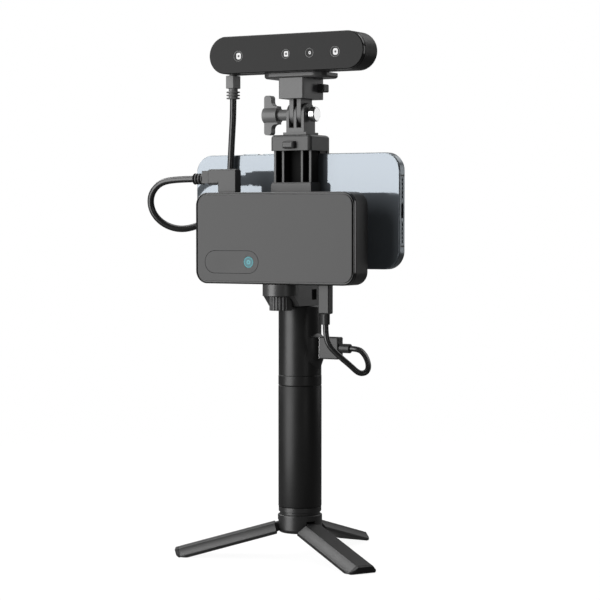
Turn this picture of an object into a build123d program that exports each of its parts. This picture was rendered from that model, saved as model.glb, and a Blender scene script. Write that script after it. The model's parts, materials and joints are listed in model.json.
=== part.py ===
"""A hand-held three-d scanner: scanner bar on a tilt mount, phone clamp, wireless
bridge box, battery handle and folding mini tripod. Millimetres, +Z up, the origin on
the floor under the handle's axis, the scanner's lenses looking along -Y."""

import math
import os

from build123d import *

os.makedirs("parts", exist_ok=True)

# Clearances and cuts shared by all pieces
overrun = 2.0
running_gap = 0.05
slide_gap = 0.15
free_gap = 0.3
screw_thread_radius = 3.175

# Tripod base and its leg pins
base_radius = 13.9
base_bottom = 15.1
base_height = 11.5
base_edge = 2.5
pivot_radius = 9.9
pivot_drop = 6.95
pin_radius = 1.5
pin_half_length = 7.3
slot_side_gap = 0.2
slot_round_gap = 0.4
stud_length = 8.0

# Tripod legs
leg_names = ("rear", "front_left", "front_right")
leg_first_angle = 90
full_turn_angle = 360
leg_reach = 71.3
leg_width = 21.0
leg_top_width = 10.6
leg_thickness = 6.2
leg_side_height = 1.8
leg_start = 5.3
leg_waist_share = (0.55, 0.47)
tongue_width = 5.6
tongue_radius = 2.8
foot_length = 2.6
foot_beyond = 5.9
toe_chamfer = 1.3
toe_corner = 6.5

# Handle: end ring, tube, grip, battery cell, collar and housing
neck_height = 1.8
neck_radius = 12.6
ring_height = 3.0
ring_radius = 13.4
ring_chamfer = 0.7
ring_edge = 0.25
spigot_height = 5.5
spigot_gap = 0.1
tube_radius = 12.0
tube_wall = 2.0
grip_radius = 13.55
grip_height = 76.1
cell_radius = 9.2
collar_spigot_height = 5.0
collar_height = 6.4
collar_radius = 13.55
housing_radius = 13.44
housing_height = 43.6
housing_wall = 2.0
housing_roof = 2.5
board_thickness = 1.6
power_board_width = 16.0
power_board_height = 36.0

# Wide power socket on the handle's right side
port_height = 17.4
port_boss_reach = 15.6
port_boss_radius = 9.5
port_boss_height = 14.0
port_boss_drop = 0.4
port_boss_fade = 2.4
port_boss_fade_run = (7.0, 2.5)
wide_socket_width = 13.1
wide_socket_thickness = 5.7
wide_socket_wall = 0.4
wide_socket_depth = 13.0

# Power button on the handle's back
button_radius = 3.8
button_proud = 0.7
button_cap_depth = 3.8
button_flange = 0.8
button_flange_depth = 1.0
button_stem_radius = 1.2
button_stem_end = 5.0

# Stud and bracket on top of the handle
stud_head_radius = 6.0
stud_head_height = 2.5
stud_reach = 21.5
bracket_height = 13.7
bracket_half_width = 11.0
bracket_back = 11.0
bracket_disc_radius = 11.3
bracket_disc_height = 7.2
bracket_corner = 3.5
bracket_foot_reach = 19.5
bracket_toe = 2.7
bracket_inset_depth = 2.5
bracket_inset_length = 6.0
bracket_inset_height = 6.5
bracket_inset_shift = -1.4

# Thumb screw that holds the bridge on the bracket
thumb_radius = 7.1
thumb_height = 8.7
thumb_flutes = 20
thumb_flute_radius = 0.6
thumb_screw_reach = 7.0

# Bridge box
bridge_width = 112.6
bridge_height = 56.5
bridge_back = -14.0
bridge_depth = 19.0
bridge_corner = 8.0
bridge_wall = 1.8
bridge_back_edge = 2.5
cover_depth = 2.6
cover_chamfer = 0.6
face_groove_inset = 0.8
face_groove_width = 0.8
face_groove_depth = 0.9
seam_depth = 0.6
seam_inset = 1.0
bridge_boss_radius = 6.0
bridge_boss_height = 9.5
bridge_board_rise = 12.0
board_side_gap = 3.5
board_top_gap = 1.7
post_radius = 3.0
post_inset = 9.0
post_rise = 14.75
small_screw_radius = 1.1
small_screw_head_radius = 2.2
small_screw_head_height = 1.5
small_screw_length = 13.5
badge_width = 38.5
badge_height = 13.8
badge_depth = 1.0
badge_offset = -29.95
badge_rise = 13.5
light_radius = 3.4
radio_can = (20.0, 2.4, 14.0)
radio_can_offset = 10.0

# Plugs and the sockets that they fit
data_tip_width = 8.25
data_tip_thickness = 2.4
data_tip_length = 6.5
socket_wall = 0.35
data_socket_depth = 8.6
angled_plug_offset = -36.25
plug_plane = -25.0
angled_neck_width = 12.6
angled_plug_depth = 6.7
angled_body_length = 20.0
angled_body_height = 9.65
angled_body_rise = 4.95
angled_body_edge = 1.6
angled_axis_drop = 1.1
angled_step_length = 5.0
angled_step_inset = 0.9
relief_length = 6.7
relief_radius = 3.5
relief_groove = 1.1
relief_groove_depth = 1.2
relief_groove_shares = (0.22, 0.56, 0.88)
power_socket_size = 7.0
power_tip_radius = 1.75
power_tip_length = 8.0
power_plug_offset = 32.4
power_plug_width = 7.2
power_plug_depth = 5.8
power_plug_length = 17.5
power_plug_edge = 1.2
power_relief_length = 6.5
power_relief_radius = 2.6
wide_plug_length = 13.3
wide_plug_height = 13.8
wide_plug_thickness = 7.0
wide_plug_edge = 1.0
wide_relief_length = 7.0
wide_relief_radius = 2.9
head_plug_offset = -46.8
head_plug_y = -3.5
head_plug_width = 6.7
head_plug_thickness = 8.4
head_plug_length = 8.0
head_plug_edge = 0.9
head_relief_length = 6.6
head_relief_core = 2.9
head_relief_flange = 4.3
head_relief_flange_height = 0.9
head_relief_flanges = 3
head_tip_width = 5.6
head_tip_thickness = 2.4
head_tip_length = 6.0
head_socket_depth = 7.0

# Cords: diameters and the routes of their middle lines
scan_cord_diameter = 4.2
power_cord_diameter = 3.5
arc_share = 0.45

# Phone held by the clamp
phone_length = 146.7
phone_height = 71.5
phone_depth = 7.65
phone_corner = 11.0
phone_glass = 0.75
phone_middle = -4.15
phone_back = 1.1
phone_glass_inset = 0.35
camera_size = 35.0
camera_corner = 8.0
camera_proud = 1.8
camera_inset = 3.5
camera_lens_radius = 5.8
camera_lens_proud = 0.9
camera_lens_shares = ((-0.24, 0.24), (-0.24, -0.24), (0.24, 0.0))
key_proud = 0.5
key_thickness = 2.6
key_travel = 0.25
key_depth = 1.2
side_key_length = 17.0
volume_key_length = 11.0
side_key_shift = -22.0
phone_port = (9.0, 2.8, 6.0)
speaker_hole_radius = 0.75
speaker_hole_depth = 1.5
speaker_hole_pitch = 2.6
speaker_hole_start = 8.5
speaker_hole_count = 5
volume_key_shift = -34.0
volume_key_pitch = 14.5

# Phone clamp: lower body, column, springs, jaw, pads and tab
clamp_half_width = 14.4
clamp_front = -11.4
clamp_wall = 0.95
clamp_front_wall = 1.85
clamp_back = 0.9
clamp_height = 62.8
lower_jaw_height = 9.2
clamp_floor = 1.6
clamp_collar_height = 1.6
clamp_collar_inset = 0.7
lip_thickness = 2.5
lip_height = 5.6
pad_inset = 0.6
column_back_wall = 2.6
column_rib = 1.4
column_inner_rib = 6.75
column_length = 58.0
column_foot = 3.0
spring_radius = 2.2
spring_wire = 0.5
jaw_height = 9.8
jaw_front = -12.4
jaw_edge = 2.1
jaw_corner = 2.4
upper_pad_height = 1.7
tab_width = 7.9
tab_height = 4.3
tab_proud = 3.5
tab_buried = 3.0
tab_travel = 1.5
tab_rise = 1.3
tab_edge = 0.9

# Tilt mount: prongs, bolt, wing knob and two-prong block
prong = 2.0
inner_prong = 2.95
prong_pitch = 5.35
prong_radius = 7.1
tilt_height = 12.9
tilt_shift = 0.9
tilt_flange = 1.7
tilt_flange_half = (8.3, 7.7)
tilt_slot_gap = 1.3
bolt_radius = 2.35
bolt_head_radius = 4.65
bolt_head_length = 3.6
bolt_head_edge = 0.6
bolt_shank_proud = 1.8
bolt_buried = 10.0
knob_shaft_radius = 3.5
knob_shaft_length = 8.85
knob_collar_radius = 5.7
knob_length = 10.1
knob_hub_radius = 5.2
wing_radius = 12.4
wing_thickness = 5.0
wing_width = 5.3
wing_edge = 1.8
wing_hollow = 3.0
wing_setback = 0.4
block_rise = 9.5
block_height = 12.8
block_half_width = 9.0
block_front = -11.5
block_back = 14.3
block_edge = 0.8
release_width = 6.6
release_height = 5.0
release_proud = 4.4
release_buried = 2.4
release_travel = 1.6
release_back_inset = 0.3
release_rise = 4.5
plate_width = 44.0
plate_length = 26.0
plate_corner = 7.5
plate_thickness = 3.2
plate_edge = 0.9
rail_width = 10.0
rail_length = 18.0
rail_height = 2.5
plate_screw_y = -2.5
plate_screw_head = 4.2
plate_screw_head_height = 2.2
plate_screw_reach = 6.0

# Scanner head
head_width = 109.8
head_height = 23.3
head_back = 3.5
head_depth = 22.5
head_wall = 2.0
head_back_edge = 6.0
panel_depth = 2.6
panel_chamfer = 0.5
head_seam_depth = 0.6
head_seam_inset = 0.9
lens_drop = 0.85
lens_places = {"left": -33.6, "projector": 0.7, "texture": 17.4, "right": 35.3}
lens_radii = {"left": 3.3, "projector": 2.9, "texture": 2.9, "right": 3.3}
window_thickness = 1.0
window_recess = 0.1
module_size = 9.0
module_depth = 4.9
barrel_gap = 0.4
barrel_length = 1.3
head_board_width = 88.0
head_board_height = 17.0
head_boss_radius = 5.5
head_boss_height = 8.0

# Places that follow from the sizes above
base_top = base_bottom + base_height
pivot_z = base_top - pivot_drop
ring_bottom = base_top + neck_height
grip_bottom = ring_bottom + ring_height
grip_top = grip_bottom + grip_height
collar_top = grip_top + collar_height
housing_top = collar_top + housing_height
port_z = collar_top + port_height
bridge_bottom = housing_top + bracket_height
bridge_mid = bridge_bottom + bridge_height / 2
bridge_top = bridge_bottom + bridge_height
bridge_front = bridge_back - bridge_depth
cover_back = bridge_front + cover_depth
bridge_board_front = plug_plane + data_tip_thickness / 2 + running_gap + socket_wall
bridge_board_back = bridge_board_front + board_thickness
bridge_board_bottom = bridge_bottom + bridge_board_rise
bridge_board_top = bridge_top - bridge_wall - board_top_gap
bridge_board_half = bridge_width / 2 - bridge_wall - board_side_gap
bracket_y = (bridge_back + bridge_front) / 2
disc_bottom = bridge_bottom - bracket_disc_height
phone_bottom = bridge_bottom + lower_jaw_height
phone_top = phone_bottom + phone_height
phone_mid = (phone_bottom + phone_top) / 2
phone_screen = phone_back + phone_depth
phone_left = phone_middle - phone_length / 2
clamp_top = bridge_bottom + clamp_height
clamp_inner = clamp_half_width - clamp_wall
pocket_front = clamp_front + clamp_front_wall
pocket_back = clamp_back - clamp_wall - slide_gap
column_front = pocket_front + slide_gap
column_back = pocket_back - slide_gap
column_half_width = clamp_inner - slide_gap
jaw_bottom = phone_top + upper_pad_height
jaw_top = jaw_bottom + jaw_height
column_bottom = jaw_bottom + tab_rise - free_gap - column_length
lip_front = phone_screen + free_gap
lip_back = lip_front + lip_thickness
tilt_z = jaw_top + tilt_height
block_bottom = tilt_z + block_rise
block_top = block_bottom + block_height
head_bottom = block_top + plate_thickness
head_mid = head_bottom + head_height / 2
head_front = head_back - head_depth
panel_back = head_front + panel_depth
lens_z = head_mid - lens_drop
plate_middle = (block_front + block_back) / 2
knob_inner = -prong_pitch - prong / 2 - free_gap
knob_outer = knob_inner - knob_shaft_length - knob_length
leg_azimuths = {
    name: leg_first_angle + k * full_turn_angle / len(leg_names)
    for k, name in enumerate(leg_names)
}
leg_drop = math.degrees(math.atan2(pivot_z, leg_reach - pivot_radius))
leg_span = math.hypot(pivot_z, leg_reach - pivot_radius)
leg_slope = leg_drop - math.degrees(math.asin(leg_thickness / 2 / leg_span))
leg_end = math.sqrt(leg_span**2 - (leg_thickness / 2) ** 2) + foot_beyond


def front_plane(y):
    """Upright plane at a depth y, facing the front."""
    return Plane.XZ.offset(-y)


def side_plane(x):
    """Upright plane at x, facing right."""
    return Plane.YZ.offset(x)


def level_plane(z):
    """Level plane at a height z, facing up."""
    return Plane.XY.offset(z)


def block(low, high, mode=Mode.ADD, plane=Plane.XY):
    """A box between two corners, given in a plane's own axes."""
    middle = tuple((a + b) / 2 for a, b in zip(low, high))
    size = [b - a for a, b in zip(low, high)]
    with Locations(plane.location * Location(middle)):
        Box(*size, mode=mode)


def rod(start, direction, radius, length, mode=Mode.ADD):
    """A round bar from a start point along a direction."""
    with Locations(Plane(origin=start, z_dir=direction).location):
        Cylinder(radius, length, align=(Align.CENTER, Align.CENTER, Align.MIN), mode=mode)


def write(piece, name):
    """Labels a finished piece and writes it."""
    piece.part.label = name
    export_step(piece.part, f"parts/{name}.step")


def leg_plane(azimuth):
    """Plane at a leg's pivot: x across the leg, y out of its top, z along it."""
    turn = math.radians(azimuth)
    slope = math.radians(leg_slope)
    pivot = (pivot_radius * math.cos(turn), pivot_radius * math.sin(turn), pivot_z)
    along = (
        math.cos(turn) * math.cos(slope),
        math.sin(turn) * math.cos(slope),
        -math.sin(slope),
    )
    return Plane(origin=pivot, x_dir=(-math.sin(turn), math.cos(turn), 0), z_dir=along)


def pivot_plane(azimuth):
    """Level plane at a leg's pivot: x across the leg, y up, z outwards."""
    turn = math.radians(azimuth)
    outward = (math.cos(turn), math.sin(turn), 0)
    pivot = (pivot_radius * outward[0], pivot_radius * outward[1], pivot_z)
    return Plane(origin=pivot, x_dir=(-outward[1], outward[0], 0), z_dir=outward)


up = (0, 0, 1)
down = (0, 0, -1)
right = (1, 0, 0)
left = (-1, 0, 0)
rear = (0, 1, 0)
forward = (0, -1, 0)


def leg_pin(azimuth, radius, mode=Mode.ADD):
    """A leg's pin, or the hole for it, across the base at the leg's pivot."""
    plane = pivot_plane(azimuth)
    across = plane.x_dir
    rod(plane.origin - across * pin_half_length, across, radius, 2 * pin_half_length, mode)


# Tripod base: round foot with a slot and a pin hole for each leg, and a stud on top
with BuildPart() as tripod_base:
    rod((0, 0, base_bottom), up, base_radius, base_height)
    fillet(tripod_base.edges().filter_by(GeomType.CIRCLE).sort_by(Axis.Z)[0], base_edge)
    fillet(tripod_base.edges().filter_by(GeomType.CIRCLE).sort_by(Axis.Z)[-1], ring_chamfer)
    rod((0, 0, base_top), up, screw_thread_radius, stud_length)
    for azimuth in leg_azimuths.values():
        slot_half = tongue_width / 2 + slot_side_gap
        slot_reach = tongue_radius + slot_round_gap
        low = (-slot_half, base_bottom - pivot_z - overrun, -slot_reach)
        high = (slot_half, slot_reach, base_radius - pivot_radius + overrun)
        block(low, high, Mode.SUBTRACT, pivot_plane(azimuth))
        leg_pin(azimuth, pin_radius + running_gap, Mode.SUBTRACT)
write(tripod_base, "tripod_base")

# Leg pins
with BuildPart() as leg_pins:
    for azimuth in leg_azimuths.values():
        leg_pin(azimuth, pin_radius)
write(leg_pins, "leg_pins")


def leg_section():
    """Outline across a leg: wide flat underside, hollow flanks, narrow flat top."""
    half, top_half = leg_width / 2, leg_top_width / 2
    under, over = -leg_thickness / 2, leg_thickness / 2
    brow = under + leg_side_height
    waist_x = top_half + (half - top_half) * (1 - leg_waist_share[0])
    waist_y = brow + (over - brow) * leg_waist_share[1]
    with BuildSketch(mode=Mode.PRIVATE) as section:
        with BuildLine():
            Polyline((-half, brow), (-half, under), (half, under), (half, brow))
            ThreePointArc((half, brow), (waist_x, waist_y), (top_half, over))
            Line((top_half, over), (-top_half, over))
            ThreePointArc((-top_half, over), (-waist_x, waist_y), (-half, brow))
        make_face()
    return section.sketch


def round_toe(plane):
    """Rounds the outer corners of a leg's end, seen from its top."""
    top = Plane(origin=plane.origin, x_dir=plane.x_dir, z_dir=plane.y_dir)
    with BuildSketch(top.offset(-leg_width), mode=Mode.PRIVATE) as outline:
        with Locations((0, (leg_width - leg_end) / 2)):
            Rectangle(leg_width, leg_width + leg_end)
        fillet(vertices().group_by(Axis.Y)[0], toe_corner)
    extrude(outline.sketch, amount=2 * leg_width, mode=Mode.INTERSECT)


# Legs, each with a tongue on its pin and a rubber foot that stands flat on the floor
leg_face = leg_section()
for leg_name, azimuth in leg_azimuths.items():
    plane = leg_plane(azimuth)
    foot_start = leg_end - foot_length
    with BuildPart() as leg:
        with BuildSketch(plane.offset(leg_start)):
            add(leg_face)
        extrude(amount=foot_start - leg_start)
        low = (-tongue_width / 2, -tongue_radius, 0)
        block(low, (tongue_width / 2, tongue_radius, leg_start), plane=plane)
        across = plane.x_dir
        rod(plane.origin - across * tongue_width / 2, across, tongue_radius, tongue_width)
        hole = plane.origin - across * tongue_width
        rod(hole, across, pin_radius + running_gap, 2 * tongue_width, Mode.SUBTRACT)
        reach = leg_reach + leg_width
        block((-reach, -reach, -leg_width), (reach, reach, free_gap), Mode.SUBTRACT)
        round_toe(plane)
    write(leg, f"leg_{leg_name}")

    with BuildPart() as foot:
        with BuildSketch(plane.offset(foot_start)):
            add(leg_face)
        extrude(amount=foot_length)
        block((-reach, -reach, -leg_width), (reach, reach, 0), Mode.SUBTRACT)
        sole = foot.faces().sort_by(Axis.Z)[0]
        toe = sole.edges().sort_by_distance((0, 0, 0))[-1]
        chamfer(toe, toe_chamfer)
        round_toe(plane)
    write(foot, f"foot_{leg_name}")

# Handle end ring: neck, ring and spigot, threaded for the tripod's stud
tube_bore = tube_radius - tube_wall
spigot_radius = tube_bore - spigot_gap
with BuildPart() as handle_end_ring:
    rod((0, 0, base_top), up, neck_radius, neck_height)
    rod((0, 0, ring_bottom), up, ring_radius, ring_height)
    chamfer(handle_end_ring.faces().sort_by(Axis.Z)[-1].edges(), ring_edge)
    rod((0, 0, grip_bottom), up, spigot_radius, spigot_height)
    thread = screw_thread_radius + running_gap
    rod((0, 0, base_top), up, thread, stud_length + free_gap, Mode.SUBTRACT)
write(handle_end_ring, "handle_end_ring")

# Handle tube and the rubber grip around it
with BuildPart() as handle_tube:
    rod((0, 0, grip_bottom), up, tube_radius, grip_height)
    rod((0, 0, grip_bottom), up, tube_bore, grip_height, Mode.SUBTRACT)
write(handle_tube, "handle_tube")

with BuildPart() as grip_sleeve:
    rod((0, 0, grip_bottom), up, grip_radius, grip_height)
    rod((0, 0, grip_bottom), up, tube_radius + running_gap, grip_height, Mode.SUBTRACT)
write(grip_sleeve, "grip_sleeve")

# Battery cell, between the end ring's spigot and the collar's
cell_bottom = grip_bottom + spigot_height
cell_top = grip_top - collar_spigot_height
with BuildPart() as battery_cell:
    rod((0, 0, cell_bottom), up, cell_radius, cell_top - cell_bottom)
    fillet(battery_cell.edges().filter_by(GeomType.CIRCLE), ring_chamfer)
write(battery_cell, "battery_cell")

# Collar between grip and housing, its spigot closing the tube over the cell
with BuildPart() as handle_collar:
    rod((0, 0, grip_top), up, collar_radius, collar_height)
    chamfer(handle_collar.edges().filter_by(GeomType.CIRCLE), ring_chamfer / 2)
    rod((0, 0, cell_top), up, spigot_radius, collar_spigot_height)
write(handle_collar, "handle_collar")

# Handle housing: hollow, with a boss for the wide socket and a hole for the button
socket_half = wide_socket_width / 2 + running_gap
socket_side = wide_socket_thickness / 2 + running_gap
socket_back = port_boss_reach - wide_socket_depth
roof_bottom = housing_top - housing_roof
with BuildPart() as handle_housing:
    rod((0, 0, collar_top), up, housing_radius, housing_height)
    chamfer(handle_housing.faces().sort_by(Axis.Z)[-1].edges(), ring_chamfer)
    boss_x = port_boss_reach - port_boss_radius
    boss_bottom = port_z - port_boss_drop - port_boss_height / 2
    rod((boss_x, 0, boss_bottom), up, port_boss_radius, port_boss_height)
    with Locations((boss_x, 0, boss_bottom)):
        faded = port_boss_radius - port_boss_fade
        under = (Align.CENTER, Align.CENTER, Align.MAX)
        Cone(faded, port_boss_radius, port_boss_fade_run[0], align=under)
    with Locations((boss_x, 0, boss_bottom + port_boss_height)):
        over = (Align.CENTER, Align.CENTER, Align.MIN)
        Cone(port_boss_radius, faded, port_boss_fade_run[1], align=over)
    inner = housing_radius - housing_wall
    rod((0, 0, collar_top), up, inner, housing_height - housing_roof, Mode.SUBTRACT)
    low = (socket_back - overrun, -socket_side, port_z - socket_half)
    block(low, (port_boss_reach + overrun, socket_side, port_z + socket_half), Mode.SUBTRACT)
    rod((0, 0, port_z), rear, button_radius + slide_gap, housing_radius + overrun, Mode.SUBTRACT)
    shank = screw_thread_radius + running_gap
    rod((0, 0, roof_bottom), up, shank, housing_roof + overrun, Mode.SUBTRACT)
write(handle_housing, "handle_housing")

# Power board, standing on the collar behind the wide socket
power_board_front = wide_socket_thickness / 2
power_board_back = power_board_front + board_thickness
with BuildPart() as power_board:
    low = (-power_board_width / 2, power_board_front, collar_top)
    block(low, (power_board_width / 2, power_board_back, collar_top + power_board_height))
write(power_board, "power_board")

# Wide socket: open metal shell with its tongue
with BuildPart() as usb_a_socket:
    half, side = wide_socket_width / 2, wide_socket_thickness / 2
    block((socket_back, -side, port_z - half), (port_boss_reach, side, port_z + half))
    half, side = half - wide_socket_wall, side - wide_socket_wall
    low = (socket_back + wide_socket_wall, -side, port_z - half)
    block(low, (port_boss_reach + overrun, side, port_z + half), Mode.SUBTRACT)
write(usb_a_socket, "usb_a_socket")

# Power button: cap, flange behind the wall and stem towards the board's switch
with BuildPart() as power_button:
    cap_end = housing_radius + button_proud
    rod((0, cap_end, port_z), forward, button_radius, button_cap_depth)
    fillet(power_button.edges().sort_by(Axis.Y)[-1], button_proud / 2)
    flange_end = cap_end - button_cap_depth
    flange_radius = button_radius + button_flange
    rod((0, flange_end, port_z), forward, flange_radius, button_flange_depth)
    stem_length = flange_end - button_stem_end
    rod((0, button_stem_end, port_z), rear, button_stem_radius, stem_length)
write(power_button, "power_button")

# Stud through the roof, which carries the bracket and the clamp
with BuildPart() as handle_stud:
    rod((0, 0, roof_bottom - stud_head_height), up, stud_head_radius, stud_head_height)
    rod((0, 0, roof_bottom), up, screw_thread_radius, housing_roof + stud_reach)
write(handle_stud, "handle_stud")

# Top bracket: block on the handle and a gusseted arm to the disc under the bridge
with BuildPart() as top_bracket:
    with BuildSketch(side_plane(-bracket_half_width)):
        with BuildLine():
            Polyline(
                (bracket_back, housing_top),
                (-bracket_foot_reach, housing_top),
                (bracket_y - bracket_toe, disc_bottom),
                (bracket_y - bracket_toe, bridge_bottom),
                (bracket_back, bridge_bottom),
                close=True,
            )
        make_face()
    extrude(amount=2 * bracket_half_width)
    upright = top_bracket.edges().filter_by(Axis.Z)
    chamfer(upright.group_by(Axis.Y)[-1], bracket_corner)
    rod((0, bracket_y, disc_bottom), up, bracket_disc_radius, bracket_disc_height)
    knob_room = thumb_radius + 2 * free_gap
    rod((0, bracket_y, disc_bottom), down, knob_room, bracket_height, Mode.SUBTRACT)
    clearance = screw_thread_radius + free_gap
    rod((0, bracket_y, disc_bottom), up, clearance, bracket_height, Mode.SUBTRACT)
    rod((0, 0, housing_top), up, screw_thread_radius + running_gap, bracket_height, Mode.SUBTRACT)
    inset_mid = housing_top + bracket_height / 2
    low = (
        bracket_half_width - bracket_inset_depth,
        bracket_inset_shift - bracket_inset_length / 2,
        inset_mid - bracket_inset_height / 2,
    )
    high = (
        bracket_half_width + overrun,
        bracket_inset_shift + bracket_inset_length / 2,
        inset_mid + bracket_inset_height / 2,
    )
    block(low, high, Mode.SUBTRACT)
write(top_bracket, "top_bracket")

# Thumb screw under the disc: fluted knob and threaded shank
with BuildPart() as bridge_thumb_screw:
    knob_top = disc_bottom - free_gap
    rod((0, bracket_y, knob_top), down, thumb_radius, thumb_height)
    with Locations((0, bracket_y, knob_top - thumb_height / 2)):
        with PolarLocations(thumb_radius, thumb_flutes):
            Cylinder(thumb_flute_radius, thumb_height, mode=Mode.SUBTRACT)
    reach = bridge_bottom - knob_top + thumb_screw_reach
    rod((0, bracket_y, knob_top), up, screw_thread_radius, reach)
write(bridge_thumb_screw, "bridge_thumb_screw")

# Bridge rear shell: rounded box with a stepped rim, bosses and holes for its sockets
post_x = bridge_width / 2 - post_inset
post_places = [
    (x, z)
    for x in (-post_x, post_x)
    for z in (bridge_bottom + post_rise, bridge_top - post_rise)
]
rim_front = cover_back
shell_front = rim_front + seam_depth
cavity_back = bridge_back - bridge_wall
data_half = data_tip_width / 2 + running_gap + socket_wall
data_side = data_tip_thickness / 2 + running_gap + socket_wall
with BuildPart() as bridge_rear_shell:
    with BuildSketch(front_plane(bridge_back)):
        with Locations((0, bridge_mid)):
            RectangleRounded(bridge_width, bridge_height, bridge_corner)
    extrude(amount=bridge_back - shell_front)
    fillet(bridge_rear_shell.faces().sort_by(Axis.Y)[-1].edges(), bridge_back_edge)
    with BuildSketch(front_plane(shell_front)):
        with Locations((0, bridge_mid)):
            RectangleRounded(
                bridge_width - 2 * seam_inset,
                bridge_height - 2 * seam_inset,
                bridge_corner - seam_inset,
            )
    extrude(amount=seam_depth)
    with BuildSketch(front_plane(cavity_back)):
        with Locations((0, bridge_mid)):
            RectangleRounded(
                bridge_width - 2 * bridge_wall,
                bridge_height - 2 * bridge_wall,
                bridge_corner - bridge_wall,
            )
    extrude(amount=bridge_depth, mode=Mode.SUBTRACT)
    rod((0, bracket_y, bridge_bottom), up, bridge_boss_radius, bridge_boss_height)
    bore = screw_thread_radius + running_gap
    bore_depth = thumb_screw_reach + running_gap
    rod((0, bracket_y, bridge_bottom), up, bore, bore_depth, Mode.SUBTRACT)
    for x, z in post_places:
        rod((x, cavity_back, z), forward, post_radius, cavity_back - bridge_board_back)
        hole = small_screw_radius + running_gap
        rod((x, bridge_back, z), forward, hole, bridge_depth, Mode.SUBTRACT)
        seat = small_screw_head_radius + slide_gap
        rod((x, bridge_back, z), forward, seat, small_screw_head_height, Mode.SUBTRACT)
    low = (angled_plug_offset - data_half, plug_plane - data_side, bridge_top - overrun)
    high = (angled_plug_offset + data_half, plug_plane + data_side, bridge_top + overrun)
    block(low, high, Mode.SUBTRACT)
    jack_hole = power_socket_size / 2
    low = (power_plug_offset, plug_plane, bridge_bottom - overrun)
    rod(low, up, jack_hole, overrun + bridge_wall, Mode.SUBTRACT)
write(bridge_rear_shell, "bridge_rear_shell")

# Bridge front cover with its chamfered edge, posts and a pocket for the badge
badge_z = bridge_bottom + badge_rise
with BuildPart() as bridge_front_cover:
    with BuildSketch(front_plane(cover_back)):
        with Locations((0, bridge_mid)):
            RectangleRounded(bridge_width, bridge_height, bridge_corner)
    extrude(amount=cover_depth)
    chamfer(bridge_front_cover.faces().sort_by(Axis.Y)[0].edges(), cover_chamfer)
    rim = face_groove_inset
    face_edge = face_groove_inset + face_groove_width
    with BuildSketch(front_plane(bridge_front + face_groove_depth)):
        with Locations((0, bridge_mid)):
            RectangleRounded(bridge_width - 2 * rim, bridge_height - 2 * rim, bridge_corner - rim)
            size = (bridge_width - 2 * face_edge, bridge_height - 2 * face_edge)
            RectangleRounded(*size, bridge_corner - face_edge, mode=Mode.SUBTRACT)
    extrude(amount=face_groove_depth + overrun, mode=Mode.SUBTRACT)
    for x, z in post_places:
        rod((x, cover_back, z), rear, post_radius, bridge_board_front - cover_back)
        screw_end = bridge_back - small_screw_head_height - small_screw_length
        hole = small_screw_radius + running_gap
        depth = bridge_board_front - screw_end + running_gap
        rod((x, bridge_board_front, z), forward, hole, depth, Mode.SUBTRACT)
    with BuildSketch(front_plane(bridge_front + badge_depth)):
        with Locations((badge_offset, badge_z)):
            SlotOverall(badge_width + 2 * slide_gap, badge_height + 2 * slide_gap)
    extrude(amount=badge_depth + overrun, mode=Mode.SUBTRACT)
write(bridge_front_cover, "bridge_front_cover")

# Badge plate with the round status light at its right end
light_x = badge_offset + badge_width / 2 - badge_height / 2
with BuildPart() as badge_plate:
    with BuildSketch(front_plane(bridge_front + badge_depth)):
        with Locations((badge_offset, badge_z)):
            SlotOverall(badge_width, badge_height)
    extrude(amount=badge_depth)
    hole = light_radius + running_gap
    rod((light_x, bridge_front, badge_z), rear, hole, badge_depth, Mode.SUBTRACT)
write(badge_plate, "badge_plate")

with BuildPart() as status_light:
    rod((light_x, bridge_front, badge_z), rear, light_radius, badge_depth)
write(status_light, "status_light")

# Bridge board with its radio can and two aerials
with BuildPart() as bridge_board:
    low = (-bridge_board_half, bridge_board_front, bridge_board_bottom)
    block(low, (bridge_board_half, bridge_board_back, bridge_board_top))
    for x, z in post_places:
        hole = small_screw_radius + running_gap
        rod((x, bridge_board_front, z), rear, hole, board_thickness, Mode.SUBTRACT)
    can_width, can_depth, can_height = radio_can
    board_mid = (bridge_board_bottom + bridge_board_top) / 2
    low = (radio_can_offset, bridge_board_front - can_depth, board_mid - can_height / 2)
    block(low, (radio_can_offset + can_width, bridge_board_front, board_mid + can_height / 2))
write(bridge_board, "bridge_board")

# Bridge sockets: flat data socket at the top and round power socket at the bottom
with BuildPart() as bridge_sockets:
    half, side = data_half - running_gap, data_side - running_gap
    low = (angled_plug_offset - half, plug_plane - side, bridge_top - data_socket_depth)
    block(low, (angled_plug_offset + half, plug_plane + side, bridge_top))
    half, side = half - socket_wall, side - socket_wall
    low = (angled_plug_offset - half, plug_plane - side, bridge_top - data_tip_length - running_gap)
    block(low, (angled_plug_offset + half, plug_plane + side, bridge_top + overrun), Mode.SUBTRACT)
    half = power_socket_size / 2
    socket_floor = bridge_bottom + bridge_wall
    low = (power_plug_offset - half, plug_plane - half, socket_floor)
    block(low, (power_plug_offset + half, plug_plane + half, bridge_board_bottom))
    bore = power_tip_radius + running_gap
    depth = power_tip_length - bridge_wall + running_gap
    rod((power_plug_offset, plug_plane, socket_floor), up, bore, depth, Mode.SUBTRACT)
write(bridge_sockets, "bridge_sockets")

# Screws that hold shell, board and cover together
with BuildPart() as bridge_screws:
    for x, z in post_places:
        rod((x, bridge_back, z), forward, small_screw_head_radius, small_screw_head_height)
        shank = (x, bridge_back - small_screw_head_height, z)
        rod(shank, forward, small_screw_radius, small_screw_length)
write(bridge_screws, "bridge_screws")

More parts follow.
